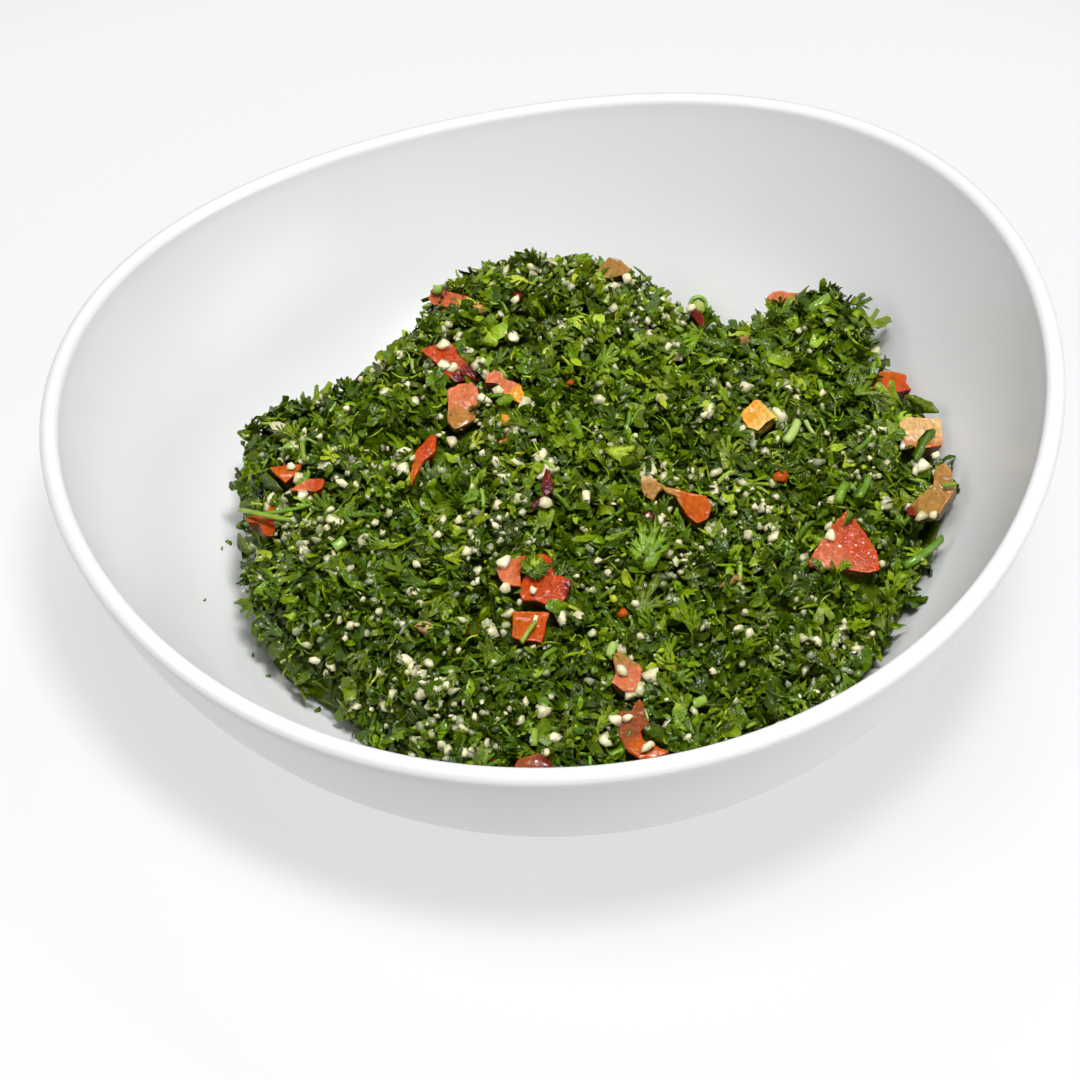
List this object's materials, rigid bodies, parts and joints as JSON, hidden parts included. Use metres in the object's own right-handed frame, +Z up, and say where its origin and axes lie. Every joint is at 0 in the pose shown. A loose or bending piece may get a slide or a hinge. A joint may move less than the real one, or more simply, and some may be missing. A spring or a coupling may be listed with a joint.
{
  "type": "tabbouleh salad in a bowl",
  "caption": "White porcelain bowl with a slanted egg-shaped rim, holding a heap of chopped parsley salad with bulgur grains and diced tomato.",
  "frame": {"origin": "on the table, under the middle of the rim's outline", "axes": "+Z up; +X towards the rim's high side; +Y away from the side that the salad is served from"},
  "size_m": [0.1992, 0.2002, 0.0734],
  "materials": {
    "porcelain": "smooth white gloss glaze",
    "salad": "oily chopped parsley with cream-white bulgur grains",
    "tomato": "wet diced tomato, red skin and paler flesh"
  },
  "bodies": {
    "root": {"bowl": "porcelain", "tabbouleh": "salad", "tomato_dice_01": "tomato", "tomato_dice_02": "tomato", "tomato_dice_03": "tomato", "tomato_dice_04": "tomato", "tomato_dice_05": "tomato", "tomato_dice_06": "tomato", "tomato_dice_07": "tomato", "tomato_dice_08": "tomato", "tomato_dice_09": "tomato", "tomato_dice_10": "tomato", "tomato_dice_11": "tomato", "tomato_dice_12": "tomato", "tomato_dice_13": "tomato", "tomato_dice_14": "tomato", "tomato_dice_15": "tomato", "tomato_dice_16": "tomato", "tomato_dice_17": "tomato", "tomato_dice_18": "tomato", "tomato_dice_19": "tomato", "tomato_dice_20": "tomato", "tomato_dice_21": "tomato", "tomato_dice_22": "tomato", "tomato_dice_23": "tomato", "tomato_dice_24": "tomato", "tomato_dice_25": "tomato"}
  },
  "joints": []
}
